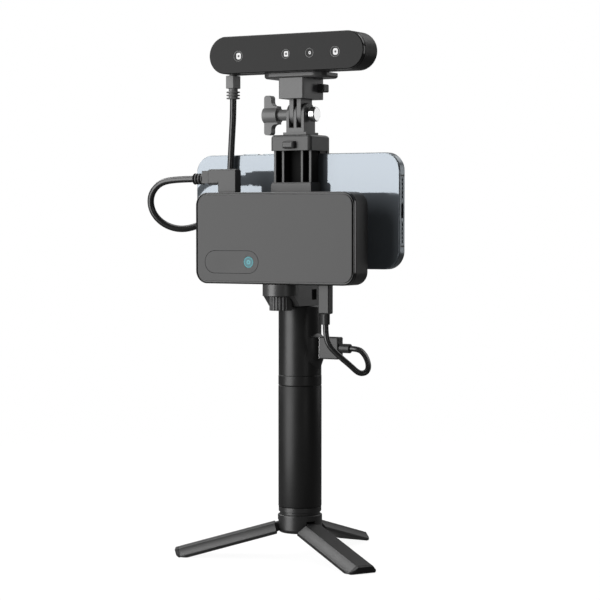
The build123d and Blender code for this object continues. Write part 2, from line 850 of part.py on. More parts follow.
# Clamp lower body: sleeve for the column on a block with the lower jaw's lip
with BuildPart() as clamp_lower_body:
    low = (-clamp_half_width, clamp_front, bridge_bottom)
    block(low, (clamp_half_width, clamp_back, clamp_top - clamp_collar_height))
    collar_half = clamp_half_width - clamp_collar_inset
    with BuildSketch(level_plane(clamp_top - clamp_collar_height)):
        with Locations((0, (clamp_front + clamp_back) / 2)):
            Rectangle(2 * clamp_half_width, clamp_back - clamp_front)
    with BuildSketch(level_plane(clamp_top)):
        with Locations((0, (clamp_front + clamp_collar_inset + clamp_back) / 2)):
            Rectangle(2 * collar_half, clamp_back - clamp_front - clamp_collar_inset)
    loft()
    low = (-clamp_half_width, clamp_front, bridge_bottom)
    block(low, (clamp_half_width, lip_back, phone_bottom - pad_inset))
    low = (-clamp_half_width, lip_front, bridge_bottom)
    block(low, (clamp_half_width, lip_back, phone_bottom + lip_height))
    low = (-clamp_inner, pocket_front, phone_bottom + clamp_floor)
    block(low, (clamp_inner, pocket_back, clamp_top + overrun), Mode.SUBTRACT)
    bore = screw_thread_radius + running_gap
    stud_depth = stud_reach - bracket_height + running_gap
    rod((0, 0, bridge_bottom), up, bore, stud_depth, Mode.SUBTRACT)
write(clamp_lower_body, "clamp_lower_body")

# Rubber pads where the jaws hold the phone
pad_half = clamp_half_width - pad_inset
with BuildPart() as lower_pad:
    low = (-pad_half, clamp_back, phone_bottom - pad_inset)
    block(low, (pad_half, lip_front, phone_bottom - running_gap))
write(lower_pad, "lower_pad")

with BuildPart() as upper_pad:
    low = (-pad_half, clamp_back, phone_top + running_gap)
    block(low, (pad_half, lip_front, jaw_bottom))
write(upper_pad, "upper_pad")

# Column: back wall with upright ribs, closed at the foot, sliding in the sleeve
with BuildPart() as jaw_column:
    column_top = column_bottom + column_length
    wall_front = column_back - column_back_wall
    low = (-column_half_width, wall_front, column_bottom)
    block(low, (column_half_width, column_back, column_top))
    outer_rib = column_half_width - column_rib / 2
    for x in (-outer_rib, -column_inner_rib, column_inner_rib, outer_rib):
        low = (x - column_rib / 2, column_front, column_bottom)
        block(low, (x + column_rib / 2, column_back, column_top))
    low = (-column_half_width, column_front, column_bottom)
    block(low, (column_half_width, column_back, column_bottom + column_foot))
write(jaw_column, "jaw_column")

# Springs between the sleeve's floor and the column's foot, which pull the jaw down
with BuildPart() as clamp_springs:
    spring_x = (column_inner_rib + outer_rib) / 2
    spring_y = (column_front + wall_front) / 2
    floor = phone_bottom + clamp_floor
    for x in (-spring_x, spring_x):
        rod((x, spring_y, floor), up, spring_radius, column_bottom - floor)
        bore = spring_radius - spring_wire
        rod((x, spring_y, floor), up, bore, column_bottom - floor, Mode.SUBTRACT)
write(clamp_springs, "clamp_springs")

# Upper jaw: bevelled block with a lip behind the phone and a pocket for the tab
tab_bottom = jaw_bottom + tab_rise
with BuildPart() as upper_jaw:
    low = (-clamp_half_width, jaw_front, jaw_bottom)
    block(low, (clamp_half_width, lip_back, jaw_top))
    fillet(upper_jaw.edges().filter_by(Axis.Z).group_by(Axis.Y)[0], jaw_corner)
    fillet(upper_jaw.faces().sort_by(Axis.Z)[-1].edges(), jaw_edge)
    low = (-clamp_half_width, lip_front, phone_top - lip_height)
    block(low, (clamp_half_width, lip_back, jaw_bottom))
    low = (-column_half_width, column_front, jaw_bottom)
    high = (column_half_width, column_back, column_top)
    block(low, high, Mode.SUBTRACT)
    half = tab_width / 2 + slide_gap
    low = (-half, jaw_front, tab_bottom - slide_gap)
    pocket_end = jaw_front + tab_buried + tab_travel + running_gap
    high = (half, pocket_end, tab_bottom + tab_height + slide_gap)
    block(low, high, Mode.SUBTRACT)
write(upper_jaw, "upper_jaw")

# Front tab of the jaw
with BuildPart() as jaw_tab:
    low = (-tab_width / 2, jaw_front - tab_proud, tab_bottom)
    block(low, (tab_width / 2, jaw_front + tab_buried, tab_bottom + tab_height))
    chamfer(jaw_tab.faces().sort_by(Axis.Y)[0].edges(), tab_edge)
write(jaw_tab, "jaw_tab")

# Tilt base: flange on the jaw and three rounded prongs
outer_prong = prong_pitch + prong / 2
slot_bottom = tilt_z - prong_radius - tilt_slot_gap
with BuildPart() as tilt_base:
    half_x, half_y = tilt_flange_half
    low = (-half_x, tilt_shift - half_y, jaw_top)
    block(low, (half_x, tilt_shift + half_y, jaw_top + tilt_flange))
    low = (-outer_prong, tilt_shift - prong_radius, jaw_top)
    block(low, (outer_prong, tilt_shift + prong_radius, tilt_z))
    rod((-outer_prong, tilt_shift, tilt_z), right, prong_radius, 2 * outer_prong)
    slot_half = (prong_pitch - prong) / 2
    for x in (-prong_pitch / 2, prong_pitch / 2):
        low = (x - slot_half, tilt_shift - prong_radius - overrun, slot_bottom)
        high = (x + slot_half, tilt_shift + prong_radius + overrun, tilt_z + 2 * prong_radius)
        block(low, high, Mode.SUBTRACT)
    hole = bolt_radius + running_gap
    rod((-outer_prong, tilt_shift, tilt_z), right, hole, 2 * outer_prong, Mode.SUBTRACT)
write(tilt_base, "tilt_base")

# Chrome bolt through the prongs
with BuildPart() as clamp_bolt:
    bolt_end = knob_inner - bolt_buried
    shank_end = outer_prong + bolt_shank_proud
    rod((bolt_end, tilt_shift, tilt_z), right, bolt_radius, shank_end - bolt_end)
    rod((shank_end, tilt_shift, tilt_z), right, bolt_head_radius, bolt_head_length)
    chamfer(clamp_bolt.faces().sort_by(Axis.X)[-1].edges(), bolt_head_edge)
write(clamp_bolt, "clamp_bolt")

# Wing knob on the bolt's left end
with BuildPart() as thumb_knob:
    rod((knob_inner, tilt_shift, tilt_z), left, knob_shaft_radius, knob_shaft_length)
    hub_inner = knob_inner - knob_shaft_length
    rod((hub_inner, tilt_shift, tilt_z), left, knob_hub_radius, knob_length)
    wing_outer = knob_outer + wing_setback
    wing_inner = wing_outer + wing_width
    with BuildSketch(front_plane(tilt_shift + wing_thickness / 2)):
        with BuildLine():
            Polyline(
                (hub_inner, tilt_z - knob_collar_radius),
                (hub_inner, tilt_z + knob_collar_radius),
                (wing_inner, tilt_z + knob_collar_radius),
                (wing_inner, tilt_z + wing_radius),
                (wing_outer, tilt_z + wing_radius),
                (wing_outer, tilt_z - wing_radius),
                (wing_inner, tilt_z - wing_radius),
                (wing_inner, tilt_z - knob_collar_radius),
                close=True,
            )
        make_face()
        corners = vertices().group_by(Axis.Y)
        fillet([level.sort_by(Axis.X)[0] for level in corners[1:-1]], wing_hollow)
        corners = vertices().group_by(Axis.Y)
        fillet(corners[0] + corners[-1], wing_edge)
    extrude(amount=wing_thickness)
    bore = bolt_radius + running_gap
    depth = bolt_buried + running_gap
    rod((knob_inner, tilt_shift, tilt_z), left, bore, depth, Mode.SUBTRACT)
write(thumb_knob, "thumb_knob")

# Tilt block: quick-release receiver with two prongs below
with BuildPart() as tilt_block:
    low = (-block_half_width, block_front, block_bottom)
    block(low, (block_half_width, block_back, block_top))
    chamfer(tilt_block.edges().filter_by(Axis.Z), block_edge)
    for x in (-prong_pitch / 2, prong_pitch / 2):
        low = (x - inner_prong / 2, tilt_shift - prong_radius, tilt_z)
        block(low, (x + inner_prong / 2, tilt_shift + prong_radius, block_bottom))
        rod((x - inner_prong / 2, tilt_shift, tilt_z), right, prong_radius, inner_prong)
    hole = bolt_radius + running_gap
    low = (-block_half_width, tilt_shift, tilt_z)
    rod(low, right, hole, 2 * block_half_width, Mode.SUBTRACT)
    rail_half = (rail_width / 2 + slide_gap, rail_length / 2 + slide_gap)
    low = (-rail_half[0], plate_middle - rail_half[1], block_top - rail_height - slide_gap)
    block(low, (rail_half[0], plate_middle + rail_half[1], block_top), Mode.SUBTRACT)
    release_back = block_back - block_edge - release_back_inset
    release_bottom = block_bottom + release_rise
    pocket_depth = release_buried + release_travel + running_gap
    low = (
        block_half_width - pocket_depth,
        release_back - release_width - slide_gap,
        release_bottom - slide_gap,
    )
    high = (block_half_width, release_back + slide_gap, release_bottom + release_height + slide_gap)
    block(low, high, Mode.SUBTRACT)
write(tilt_block, "tilt_block")

# Release tab in the block's right side
with BuildPart() as release_tab:
    low = (block_half_width - release_buried, release_back - release_width, release_bottom)
    high = (block_half_width + release_proud, release_back, release_bottom + release_height)
    block(low, high)
    chamfer(release_tab.faces().sort_by(Axis.X)[-1].edges(), block_edge / 2)
write(release_tab, "release_tab")

# Quick-release plate with its rail, and the screw that holds it on the head
with BuildPart() as qr_plate:
    with BuildSketch(level_plane(block_top)):
        with Locations((0, plate_middle)):
            RectangleRounded(plate_width, plate_length, plate_corner)
    extrude(amount=plate_thickness)
    chamfer(qr_plate.faces().sort_by(Axis.Z)[0].edges(), plate_edge)
    low = (-rail_width / 2, plate_middle - rail_length / 2, block_top - rail_height)
    block(low, (rail_width / 2, plate_middle + rail_length / 2, block_top))
    seat = (0, plate_screw_y, block_top - rail_height)
    rod(seat, up, plate_screw_head + slide_gap / 2, plate_screw_head_height, Mode.SUBTRACT)
    clearance = screw_thread_radius + running_gap
    rod(seat, up, clearance, plate_thickness + rail_height, Mode.SUBTRACT)
write(qr_plate, "qr_plate")

with BuildPart() as plate_screw:
    rod(seat, up, plate_screw_head, plate_screw_head_height)
    reach = rail_height + plate_thickness + plate_screw_reach
    rod(seat, up, screw_thread_radius, reach)
write(plate_screw, "plate_screw")

# Scanner head rear shell: hollow bar with a stepped rim and a threaded boss
shell_rim = panel_back
shell_edge = shell_rim + head_seam_depth
head_cavity_back = head_back - head_wall
with BuildPart() as head_rear_shell:
    with BuildSketch(front_plane(head_back)):
        with Locations((0, head_mid)):
            SlotOverall(head_width, head_height)
    extrude(amount=head_back - shell_edge)
    fillet(head_rear_shell.faces().sort_by(Axis.Y)[-1].edges(), head_back_edge)
    with BuildSketch(front_plane(shell_edge)):
        with Locations((0, head_mid)):
            SlotOverall(head_width - 2 * head_seam_inset, head_height - 2 * head_seam_inset)
    extrude(amount=head_seam_depth)
    with BuildSketch(front_plane(head_cavity_back - head_back_edge / 2)):
        with Locations((0, head_mid)):
            SlotOverall(head_width - 2 * head_wall, head_height - 2 * head_wall)
    extrude(amount=head_depth, mode=Mode.SUBTRACT)
    rod((0, plate_screw_y, head_bottom), up, head_boss_radius, head_boss_height)
    bore = screw_thread_radius + running_gap
    depth = plate_screw_reach + running_gap
    rod((0, plate_screw_y, head_bottom), up, bore, depth, Mode.SUBTRACT)
    socket_half = head_tip_width / 2 + running_gap + socket_wall + running_gap
    socket_side = head_tip_thickness / 2 + running_gap + socket_wall + running_gap
    low = (head_plug_offset - socket_side, head_plug_y - socket_half, head_bottom - overrun)
    high = (head_plug_offset + socket_side, head_plug_y + socket_half, head_mid)
    block(low, high, Mode.SUBTRACT)
write(head_rear_shell, "head_rear_shell")

# Front panel with a hole for each lens window
with BuildPart() as head_front_panel:
    with BuildSketch(front_plane(panel_back)):
        with Locations((0, head_mid)):
            SlotOverall(head_width, head_height)
    extrude(amount=panel_depth)
    chamfer(head_front_panel.faces().sort_by(Axis.Y)[0].edges(), panel_chamfer)
    for lens, x in lens_places.items():
        window = lens_radii[lens] + running_gap
        rod((x, head_front, lens_z), rear, window, window_recess + window_thickness, Mode.SUBTRACT)
        barrel = lens_radii[lens] - barrel_gap
        rod((x, head_front, lens_z), rear, barrel, panel_depth, Mode.SUBTRACT)
write(head_front_panel, "head_front_panel")

with BuildPart() as lens_windows:
    for lens, x in lens_places.items():
        front = (x, head_front + window_recess, lens_z)
        rod(front, rear, lens_radii[lens], window_thickness)
write(lens_windows, "lens_windows")

# Camera, projector and colour modules behind the windows
module_back = panel_back + module_depth
with BuildPart() as camera_modules:
    for lens, x in lens_places.items():
        half = module_size / 2
        low = (x - half, panel_back, lens_z - half)
        block(low, (x + half, module_back, lens_z + half))
        barrel = lens_radii[lens] - barrel_gap - slide_gap
        rod((x, panel_back, lens_z), forward, barrel, barrel_length)
write(camera_modules, "camera_modules")

# Head board behind the modules, with its socket in the underside
with BuildPart() as head_board:
    half = head_board_width / 2
    low = (-half, module_back, lens_z - head_board_height / 2)
    block(low, (half, module_back + board_thickness, lens_z + head_board_height / 2))
write(head_board, "head_board")

with BuildPart() as head_socket:
    half = socket_half - running_gap
    side = socket_side - running_gap
    socket_bottom = head_bottom + head_wall / 2
    low = (head_plug_offset - side, head_plug_y - half, socket_bottom)
    block(low, (head_plug_offset + side, head_plug_y + half, socket_bottom + head_socket_depth))
    half, side = half - socket_wall, side - socket_wall
    low = (head_plug_offset - side, head_plug_y - half, socket_bottom - overrun)
    high = (head_plug_offset + side, head_plug_y + half, head_bottom + head_tip_length + running_gap)
    block(low, high, Mode.SUBTRACT)
write(head_socket, "head_socket")

# Phone frame: metal band around the inside, with key slots, port and speaker holes
frame_back = phone_back + phone_glass
frame_front = phone_screen - phone_glass
frame_mid = (frame_back + frame_front) / 2
volume_x = phone_middle + volume_key_shift
phone_keys = {
    "phone_volume_up_key": (volume_x, volume_key_length, phone_top, 1),
    "phone_volume_down_key": (volume_x + volume_key_pitch, volume_key_length, phone_top, 1),
    "phone_side_key": (phone_middle + side_key_shift, side_key_length, phone_bottom, -1),
}


def key_box(place, gap, inner, outer):
    """Corners of a key, or of its slot with a gap, from an inner to an outer depth."""
    x, length, edge, side = place
    heights = sorted((edge - side * inner, edge + side * outer))
    half, thick = length / 2 + gap, key_thickness / 2 + gap
    return (x - half, frame_mid - thick, heights[0]), (x + half, frame_mid + thick, heights[1])


with BuildPart() as phone_frame:
    with BuildSketch(front_plane(frame_front)):
        with Locations((phone_middle, phone_mid)):
            RectangleRounded(phone_length, phone_height, phone_corner)
    extrude(amount=frame_front - frame_back)
    for place in phone_keys.values():
        low, high = key_box(place, slide_gap, key_depth + key_travel + running_gap, overrun)
        block(low, high, Mode.SUBTRACT)
    phone_end = phone_middle + phone_length / 2
    port_length, port_width, port_depth = phone_port
    with BuildSketch(side_plane(phone_end - port_depth)):
        with Locations((frame_mid, phone_mid)):
            SlotOverall(port_length, port_width, rotation=90)
    extrude(amount=port_depth + overrun, mode=Mode.SUBTRACT)
    for side in (-1, 1):
        for k in range(speaker_hole_count):
            z = phone_mid + side * (speaker_hole_start + k * speaker_hole_pitch)
            mouth = (phone_end - speaker_hole_depth, frame_mid, z)
            rod(mouth, right, speaker_hole_radius, speaker_hole_depth, Mode.SUBTRACT)
write(phone_frame, "phone_frame")

# Back glass with its raised camera corner, and the screen
glass_length = phone_length - 2 * phone_glass_inset
glass_height = phone_height - 2 * phone_glass_inset
glass_corner = phone_corner - phone_glass_inset
with BuildPart() as phone_back_glass:
    with BuildSketch(front_plane(frame_back)):
        with Locations((phone_middle, phone_mid)):
            RectangleRounded(glass_length, glass_height, glass_corner)
    extrude(amount=phone_glass)
    camera_x = phone_left + camera_inset + camera_size / 2
    camera_z = phone_bottom + camera_inset + camera_size / 2
    with BuildSketch(front_plane(phone_back)):
        with Locations((camera_x, camera_z)):
            RectangleRounded(camera_size, camera_size, camera_corner)
    extrude(amount=camera_proud)
    camera_face = phone_back - camera_proud
    for across, upward in camera_lens_shares:
        lens = (camera_x + across * camera_size, camera_face, camera_z + upward * camera_size)
        rod(lens, forward, camera_lens_radius, camera_lens_proud)
write(phone_back_glass, "phone_back_glass")

with BuildPart() as phone_screen_glass:
    with BuildSketch(front_plane(phone_screen)):
        with Locations((phone_middle, phone_mid)):
            RectangleRounded(glass_length, glass_height, glass_corner)
    extrude(amount=phone_glass)
write(phone_screen_glass, "phone_screen_glass")

# Phone keys in their slots
for key_name, place in phone_keys.items():
    with BuildPart() as phone_key:
        block(*key_box(place, 0, key_depth, key_proud))
    write(phone_key, key_name)

# Straight plug under the scanner head, with ringed strain relief
head_plug_top = head_bottom - running_gap
head_plug_bottom = head_plug_top - head_plug_length
head_relief_end = head_plug_bottom - head_relief_length
with BuildPart() as head_plug:
    half, side = head_plug_thickness / 2, head_plug_width / 2
    low = (head_plug_offset - side, head_plug_y - half, head_plug_bottom)
    block(low, (head_plug_offset + side, head_plug_y + half, head_plug_top))
    chamfer(head_plug.edges().filter_by(Axis.Z), head_plug_edge)
    half, side = head_tip_width / 2, head_tip_thickness / 2
    low = (head_plug_offset - side, head_plug_y - half, head_plug_top)
    block(low, (head_plug_offset + side, head_plug_y + half, head_bottom + head_tip_length))
    end = (head_plug_offset, head_plug_y, head_relief_end)
    rod(end, up, head_relief_core, head_relief_length)
    flange_step = (head_relief_length - head_relief_flange_height) / head_relief_flanges
    for k in range(head_relief_flanges):
        ring = (head_plug_offset, head_plug_y, head_relief_end + k * flange_step)
        rod(ring, up, head_relief_flange, head_relief_flange_height)
write(head_plug, "head_plug")

# Angled plug on top of the bridge
angled_right = angled_plug_offset + angled_neck_width / 2
angled_left = angled_right - angled_body_length
angled_bottom = bridge_top + angled_body_rise
angled_axis = angled_bottom + angled_body_height / 2 - angled_axis_drop
angled_relief_start = angled_left - angled_step_length
angled_relief_end = angled_relief_start - relief_length
with BuildPart() as angled_plug:
    side = angled_plug_depth / 2
    low = (angled_left, plug_plane - side, angled_bottom)
    block(low, (angled_right, plug_plane + side, angled_bottom + angled_body_height))
    fillet(angled_plug.edges().filter_by(Axis.X), angled_body_edge)
    low = (angled_right - angled_neck_width, plug_plane - side, bridge_top + running_gap)
    block(low, (angled_right, plug_plane + side, angled_axis))
    side = angled_plug_depth / 2 - angled_step_inset / 2
    low = (angled_relief_start, plug_plane - side, angled_bottom + angled_step_inset)
    high = (angled_left, plug_plane + side, angled_bottom + angled_body_height - angled_step_inset)
    block(low, high)
    end = (angled_relief_start, plug_plane, angled_axis)
    rod(end, left, relief_radius, relief_length)
    for share in relief_groove_shares:
        groove = (angled_relief_start - share * relief_length, plug_plane, angled_axis)
        with Locations(Plane(origin=groove, z_dir=right).location):
            Cylinder(relief_radius + overrun, relief_groove, mode=Mode.SUBTRACT)
            Cylinder(relief_radius - relief_groove_depth, relief_groove)
    half, side = data_tip_width / 2, data_tip_thickness / 2
    low = (angled_plug_offset - half, plug_plane - side, bridge_top - data_tip_length)
    block(low, (angled_plug_offset + half, plug_plane + side, angled_bottom))
write(angled_plug, "angled_plug")

# Small power plug under the bridge
power_plug_top = bridge_bottom - running_gap
power_plug_bottom = power_plug_top - power_plug_length
power_relief_end = power_plug_bottom - power_relief_length
with BuildPart() as power_plug:
    half, side = power_plug_width / 2, power_plug_depth / 2
    low = (power_plug_offset - half, plug_plane - side, power_plug_bottom)
    block(low, (power_plug_offset + half, plug_plane + side, power_plug_top))
    chamfer(power_plug.faces().sort_by(Axis.Z)[0].edges(), power_plug_edge / 2)
    fillet(power_plug.edges().filter_by(Axis.Z), power_plug_edge / 2)
    end = (power_plug_offset, plug_plane, power_relief_end)
    rod(end, up, power_relief_radius, power_relief_length)
    tip = (power_plug_offset, plug_plane, power_plug_top)
    rod(tip, up, power_tip_radius, running_gap + power_tip_length)
write(power_plug, "power_plug")

# Wide power plug in the handle's socket
wide_plug_start = port_boss_reach + running_gap
wide_plug_end = wide_plug_start + wide_plug_length
wide_relief_end = wide_plug_end + wide_relief_length
with BuildPart() as usb_a_plug:
    half, side = wide_plug_height / 2, wide_plug_thickness / 2
    low = (wide_plug_start, -side, port_z - half)
    block(low, (wide_plug_end, side, port_z + half))
    fillet(usb_a_plug.edges().filter_by(Axis.X), wide_plug_edge)
    chamfer(usb_a_plug.faces().sort_by(Axis.X)[-1].edges(), wide_plug_edge / 2)
    rod((wide_plug_end, 0, port_z), right, wide_relief_radius, wide_relief_length)
    half = wide_socket_width / 2 - wide_socket_wall - running_gap
    side = wide_socket_thickness / 2 - wide_socket_wall - running_gap
    low = (socket_back + 2 * wide_socket_wall, -side, port_z - half)
    block(low, (wide_plug_start, side, port_z + half))
write(usb_a_plug, "usb_a_plug")

# Routes of the cords' middle lines
scan_joint = (-50.0, -2.3, 236.0)
scan_upper_route = [
    (head_plug_offset, head_plug_y, head_relief_end),
    (head_plug_offset, head_plug_y, 278.0),
    (-48.3, -2.8, 262.0),
    (-49.5, -2.3, 246.0),
    scan_joint,
]
scan_lower_route = [
    scan_joint,
    (-50.5, -2.3, 226.0),
    (-57.0, -5.9, 215.0),
    (-67.0, -10.6, 207.4),
    (-78.5, -15.3, 204.2),
    (-89.0, -19.9, 207.6),
    (-95.6, -23.3, 215.6),
    (-95.9, -25.2, 225.6),
    (-89.5, -25.6, 233.6),
    (-79.0, plug_plane, angled_axis),
    (angled_relief_end, plug_plane, angled_axis),
]
power_route = [
    (wide_relief_end, 0, port_z),
    (41.5, 0, port_z),
    (47.6, -4.0, 128.9),
    (52.5, -8.0, 124.4),
    (54.7, -11.4, 120.2),
    (53.8, -14.1, 117.7),
    (50.5, -16.5, 117.7),
    (46.8, -19.4, 122.2),
    (39.8, -22.2, 128.4),
    (34.0, -24.4, 134.6),
    (power_plug_offset, plug_plane, 141.4),
    (power_plug_offset, plug_plane, power_relief_end),
]


def corner_radii(route):
    """Radius at each inner point: as large as its two runs allow."""
    points = [Vector(*point) for point in route]
    radii = []
    for before, at, after in zip(points, points[1:], points[2:]):
        turn = math.radians((at - before).get_angle(after - at))
        shorter = min((at - before).length, (after - at).length)
        radii.append(arc_share * shorter / math.tan(turn / 2))
    return radii


def cord(name, route, diameter):
    """A round tube along straight runs joined by tangent arcs."""
    radii = corner_radii(route)
    with BuildPart() as tube:
        with BuildLine() as line:
            FilletPolyline(*route, radius=radii)
        with BuildSketch(Plane(origin=line.line @ 0, z_dir=line.line % 0)):
            Circle(diameter / 2)
        sweep()
    length = sum(edge.length for edge in line.edges())
    share = tube.part.volume / (math.pi * diameter**2 / 4 * length)
    print(name, "length", round(length, 1), "volume share", round(share, 4))
    print(name, "radii", [round(radius, 1) for radius in radii])
    write(tube, name)


cord("scan_cord_upper", scan_upper_route, scan_cord_diameter)
cord("scan_cord_lower", scan_lower_route, scan_cord_diameter)
cord("power_cord", power_route, power_cord_diameter)
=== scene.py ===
"""Looks of the hand-held three-d scanner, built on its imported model: softened
mouldings, cords, lenses, status light and phone, in a plain white studio. Lengths
are in metres in the model's own frame, and the cords' routes in millimetres."""

import json
import math

import bmesh
import bpy
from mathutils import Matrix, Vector


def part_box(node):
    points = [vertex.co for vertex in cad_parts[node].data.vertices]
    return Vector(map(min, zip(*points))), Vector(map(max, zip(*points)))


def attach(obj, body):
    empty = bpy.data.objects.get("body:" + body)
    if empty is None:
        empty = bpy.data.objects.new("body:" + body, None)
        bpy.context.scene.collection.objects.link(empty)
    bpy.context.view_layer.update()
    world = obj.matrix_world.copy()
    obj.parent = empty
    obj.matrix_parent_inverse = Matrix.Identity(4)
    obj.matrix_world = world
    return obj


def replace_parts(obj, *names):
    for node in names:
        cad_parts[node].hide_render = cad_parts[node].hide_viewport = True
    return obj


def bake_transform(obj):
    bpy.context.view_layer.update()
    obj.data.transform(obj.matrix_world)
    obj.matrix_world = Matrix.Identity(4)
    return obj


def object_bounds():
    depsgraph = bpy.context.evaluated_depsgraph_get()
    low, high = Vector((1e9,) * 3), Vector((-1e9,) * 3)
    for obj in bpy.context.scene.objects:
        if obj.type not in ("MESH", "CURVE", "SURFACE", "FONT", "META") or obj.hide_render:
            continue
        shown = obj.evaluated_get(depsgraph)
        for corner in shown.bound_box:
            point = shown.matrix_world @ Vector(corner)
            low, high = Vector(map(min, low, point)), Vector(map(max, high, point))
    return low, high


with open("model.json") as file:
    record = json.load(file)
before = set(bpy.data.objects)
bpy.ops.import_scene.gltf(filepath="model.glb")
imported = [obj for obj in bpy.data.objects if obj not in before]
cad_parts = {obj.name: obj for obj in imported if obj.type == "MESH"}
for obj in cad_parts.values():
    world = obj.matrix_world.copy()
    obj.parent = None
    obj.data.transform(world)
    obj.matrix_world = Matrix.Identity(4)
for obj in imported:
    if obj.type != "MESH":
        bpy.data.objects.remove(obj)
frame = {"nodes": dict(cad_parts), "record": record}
cad_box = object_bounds()

mm = 0.001
record = frame["record"]
body_of = {node: body for body, nodes in record["behaviour"]["bodies"].items() for node in nodes}
slot_of = {part["node"]: part["material_slot"] for part in record["subparts"]}
scene = bpy.context.scene
scene.view_settings.view_transform = "Standard"

# Camera at the photograph's viewing angle
camera_azimuth = math.radians(30)
camera_distance = 1.245
camera_height = 0.210
camera_pitch = math.radians(2.27)
camera_lens = 119.5

camera = bpy.data.objects.new("camera", bpy.data.cameras.new("camera"))
camera.data.lens = camera_lens
camera.location = (
    camera_distance * math.sin(camera_azimuth),
    -camera_distance * math.cos(camera_azimuth),
    camera_height,
)
camera.rotation_euler = (math.pi / 2 - camera_pitch, 0, camera_azimuth)
scene.collection.objects.link(camera)
scene.camera = camera


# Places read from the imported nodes
weld = 0.002 * mm


def islands(node, below=None):
    """Box of each separate solid in a node, left to right; below keeps points with a smaller y."""
    shape = bmesh.new()
    shape.from_mesh(frame["nodes"][node].data)
    bmesh.ops.remove_doubles(shape, verts=shape.verts, dist=weld)
    waiting = {vert for vert in shape.verts if below is None or vert.co.y < below}
    boxes = []
    while waiting:
        stack = [waiting.pop()]
        group = []
        while stack:
            vert = stack.pop()
            group.append(vert.co.copy())
            for edge in vert.link_edges:
                other = edge.other_vert(vert)
                if other in waiting:
                    waiting.remove(other)
                    stack.append(other)
        boxes.append((Vector(map(min, zip(*group))), Vector(map(max, zip(*group)))))
    shape.free()
    return sorted(boxes, key=lambda box: box[0].x)


def middle(box):
    """Centre of a box."""
    return (box[0] + box[1]) / 2


# Materials: noise scales are in cells to the metre
patch_scale = 45
patch_detail = 3
noise_roughness = 0.55
noise_low, noise_high = 0.3, 0.7
grain_scale = 2600
grain_detail = 2
grain_strength = 0.06
grain_depth = 0.1 * mm
tone_spread = 0.10
gloss_spread = 0.08
split_blur = 0.05 * mm


def wire(tree, source, output, target, socket):
    """Joins an output of one shader node to a socket of another."""
    tree.links.new(source.outputs[output], target.inputs[socket])


def start_material(name):
    """A new material, with its tree, its main shader and object coordinates."""
    material = bpy.data.materials.new(name)
    material.use_nodes = True
    tree = material.node_tree
    place = tree.nodes.new("ShaderNodeTexCoord")
    return material, tree, tree.nodes["Principled BSDF"], place


def noise(tree, place, scale, detail):
    """Noise over the object's own coordinates."""
    node = tree.nodes.new("ShaderNodeTexNoise")
    node.inputs["Scale"].default_value = scale
    node.inputs["Detail"].default_value = detail
    node.inputs["Roughness"].default_value = noise_roughness
    wire(tree, place, "Object", node, "Vector")
    return node


def add_grain(tree, shader, place, grain, strength):
    """Fine relief of a moulded surface."""
    speckle = noise(tree, place, grain, grain_detail)
    relief = tree.nodes.new("ShaderNodeBump")
    relief.inputs["Strength"].default_value = strength
    relief.inputs["Distance"].default_value = grain_depth
    wire(tree, speckle, "Fac", relief, "Height")
    wire(tree, relief, "Normal", shader, "Normal")


def set_sockets(shader, sockets):
    """Sets named sockets of the shader, with _ for a space in their names."""
    for socket, value in sockets.items():
        shader.inputs[socket.replace("_", " ")].default_value = value


def spread_over(tree, source, low, high):
    """A value that runs from low to high as the noise goes from dark to light."""
    node = tree.nodes.new("ShaderNodeMapRange")
    node.inputs["From Min"].default_value = noise_low
    node.inputs["From Max"].default_value = noise_high
    node.inputs["To Min"].default_value = low
    node.inputs["To Max"].default_value = high
    wire(tree, source, "Fac", node, "Value")
    return node


def two_tone(tree, factor, output, dark, light):
    """Colour between dark and light."""
    node = tree.nodes.new("ShaderNodeMix")
    node.data_type = "RGBA"
    node.inputs["A"].default_value = (*dark, 1)
    node.inputs["B"].default_value = (*light, 1)
    wire(tree, factor, output, node, "Factor")
    return node


def moulded(name, colour, roughness, grain=grain_scale, bump=grain_strength, **sockets):
    """Moulded plastic, rubber or metal: fine grain, uneven gloss, slight tone changes."""
    material, tree, shader, place = start_material(name)
    patches = noise(tree, place, patch_scale, patch_detail)
    share = spread_over(tree, patches, 0, 1)
    dark = [c * (1 - tone_spread) for c in colour]
    light = [c * (1 + tone_spread) for c in colour]
    tone = two_tone(tree, share, "Result", dark, light)
    wire(tree, tone, "Result", shader, "Base Color")
    smooth, rough = roughness * (1 - gloss_spread), roughness * (1 + gloss_spread)
    gloss = spread_over(tree, patches, smooth, rough)
    wire(tree, gloss, "Result", shader, "Roughness")
    add_grain(tree, shader, place, grain, bump)
    set_sockets(shader, sockets)
    return material


def plain(name, colour, roughness, **sockets):
    """Polished or small surface of one colour."""
    material, tree, shader, place = start_material(name)
    tree.nodes.remove(place)
    shader.inputs["Base Color"].default_value = (*colour, 1)
    shader.inputs["Roughness"].default_value = roughness
    set_sockets(shader, sockets)
    return material


def split_along(name, axis, edge, before, after, gloss, **sockets):
    """Plastic of two tones and two roughnesses that meet at a place along one axis; the darker
    tone paints shade on the surfaces behind a front face.
    """
    material, tree, shader, place = start_material(name)
    parts = tree.nodes.new("ShaderNodeSeparateXYZ")
    wire(tree, place, "Object", parts, "Vector")
    step, polish = (tree.nodes.new("ShaderNodeMapRange") for _ in range(2))
    for node, ends in ((step, (0, 1)), (polish, gloss)):
        node.inputs["From Min"].default_value = edge - split_blur
        node.inputs["From Max"].default_value = edge + split_blur
        node.inputs["To Min"].default_value, node.inputs["To Max"].default_value = ends
        wire(tree, parts, axis, node, "Value")
    tone = two_tone(tree, step, "Result", before, after)
    wire(tree, tone, "Result", shader, "Base Color")
    wire(tree, polish, "Result", shader, "Roughness")
    add_grain(tree, shader, place, grain_scale, grain_strength)
    set_sockets(shader, sockets)
    return material


ring_start_share, ring_full_share = 0.26, 0.40
ring_roughness = 0.3


